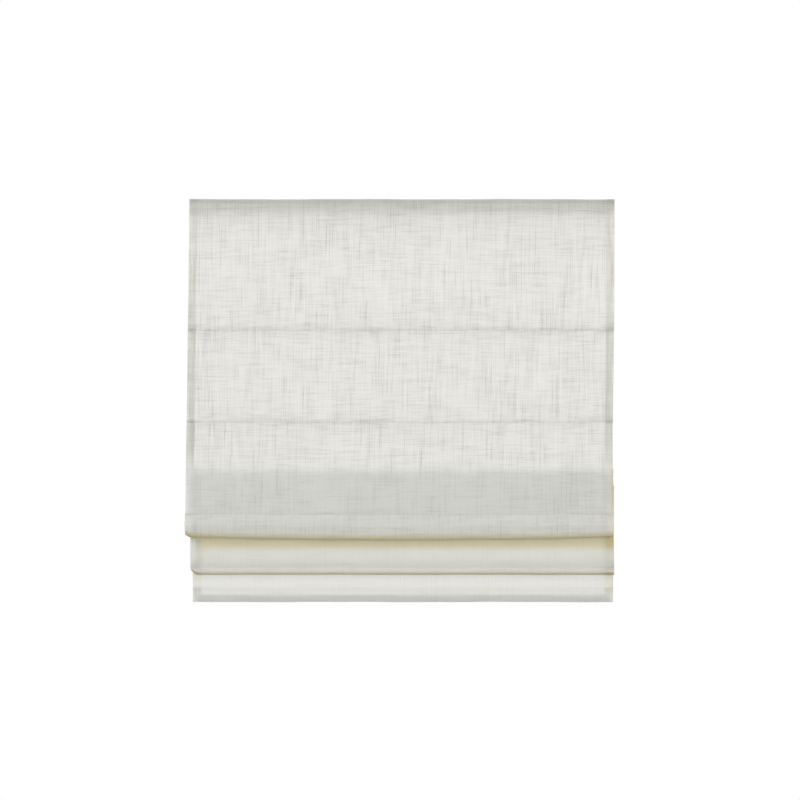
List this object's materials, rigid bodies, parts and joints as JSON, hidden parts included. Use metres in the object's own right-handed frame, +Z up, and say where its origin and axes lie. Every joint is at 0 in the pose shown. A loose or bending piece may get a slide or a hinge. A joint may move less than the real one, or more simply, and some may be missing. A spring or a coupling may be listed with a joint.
{
  "type": "roman blind",
  "caption": "White slub linen roman blind, half raised into stacked folds, with rods in tucks, a bottom bar and a spring-balanced lift in its head rail.",
  "frame": {"origin": "centre of the four wall screw holes in the two brackets, on the wall plane", "axes": "+X along the blind to the right as seen from the room, +Y into the wall, +Z up"},
  "size_m": [1, 0.083, 0.9508],
  "materials": {
    "linen": "matte",
    "tape": "matte",
    "rail": "satin",
    "zinc": "satin",
    "spring_steel": "satin",
    "cord": "matte",
    "rod": "satin",
    "bar": "satin",
    "clear_plastic": "gloss",
    "white_plastic": "satin"
  },
  "bodies": {
    "head": {"cloth": "linen", "head_rail": "rail", "rail_cap_left": "white_plastic", "rail_cap_right": "white_plastic", "hook_tape": "tape", "loop_tape": "tape", "wall_bracket_left": "zinc", "wall_bracket_right": "zinc", "motor_case": "white_plastic", "motor_cover": "white_plastic", "drive_spring": "spring_steel", "spool_cradle_left": "white_plastic", "spool_cradle_middle": "white_plastic", "spool_cradle_right": "white_plastic", "lift_cord_left": "cord", "lift_cord_middle": "cord", "lift_cord_right": "cord", "rod_1": "rod", "rod_tips_1": "white_plastic"},
    "shaft": {"lift_shaft": "zinc", "cord_spool_left": "white_plastic", "cord_spool_middle": "white_plastic", "cord_spool_right": "white_plastic", "cord_windings": "cord", "output_drum": "white_plastic"},
    "storage": {"storage_drum": "white_plastic"},
    "second_rod": {"rod_2": "rod", "rod_tips_2": "white_plastic", "rings_2": "clear_plastic", "rod_3": "rod", "rod_tips_3": "white_plastic"},
    "fourth_rod": {"rod_4": "rod", "rod_tips_4": "white_plastic", "rings_4": "clear_plastic", "rod_5": "rod", "rod_tips_5": "white_plastic"},
    "sixth_rod": {"rod_6": "rod", "rod_tips_6": "white_plastic", "rings_6": "clear_plastic", "cord_beads": "clear_plastic", "cord_spacers": "clear_plastic", "bottom_bar": "bar", "bottom_bar_caps": "white_plastic"}
  },
  "joints": [
    {"name": "rod_2_lift", "type": "slide", "parent": "head", "child": "second_rod", "axis": [0, 0.056, 0.9984], "range_m": [0, 0.42867], "deforming": ["cloth", "lift_cord_left", "lift_cord_middle", "lift_cord_right"]},
    {"name": "rod_4_lift", "type": "slide", "parent": "second_rod", "child": "fourth_rod", "axis": [0, 0, 1], "range_m": [-0.30928, 0.11], "deforming": ["cloth", "lift_cord_left", "lift_cord_middle", "lift_cord_right"]},
    {"name": "rod_6_lift", "type": "slide", "parent": "fourth_rod", "child": "sixth_rod", "axis": [0, 0.015, 0.9999], "range_m": [-0.39339, 0], "deforming": ["cloth", "lift_cord_left", "lift_cord_middle", "lift_cord_right"]},
    {"name": "shaft_turn", "type": "hinge", "parent": "head", "child": "shaft", "pos_m": [0, -0.0357, -0.0015], "axis": [1, 0, 0], "range_deg": [-704.9, 1981.9]},
    {"name": "storage_turn", "type": "hinge", "parent": "head", "child": "storage", "pos_m": [0.165, -0.0193, -0.0015], "axis": [1, 0, 0], "range_deg": [-3408.9, 1212.4]}
  ],
  "couplings": [
    {"joint": "shaft_turn", "follows": "rod_4_lift", "rad_per_m": -111.73},
    {"joint": "storage_turn", "follows": "rod_4_lift", "rad_per_m": 192.18}
  ]
}
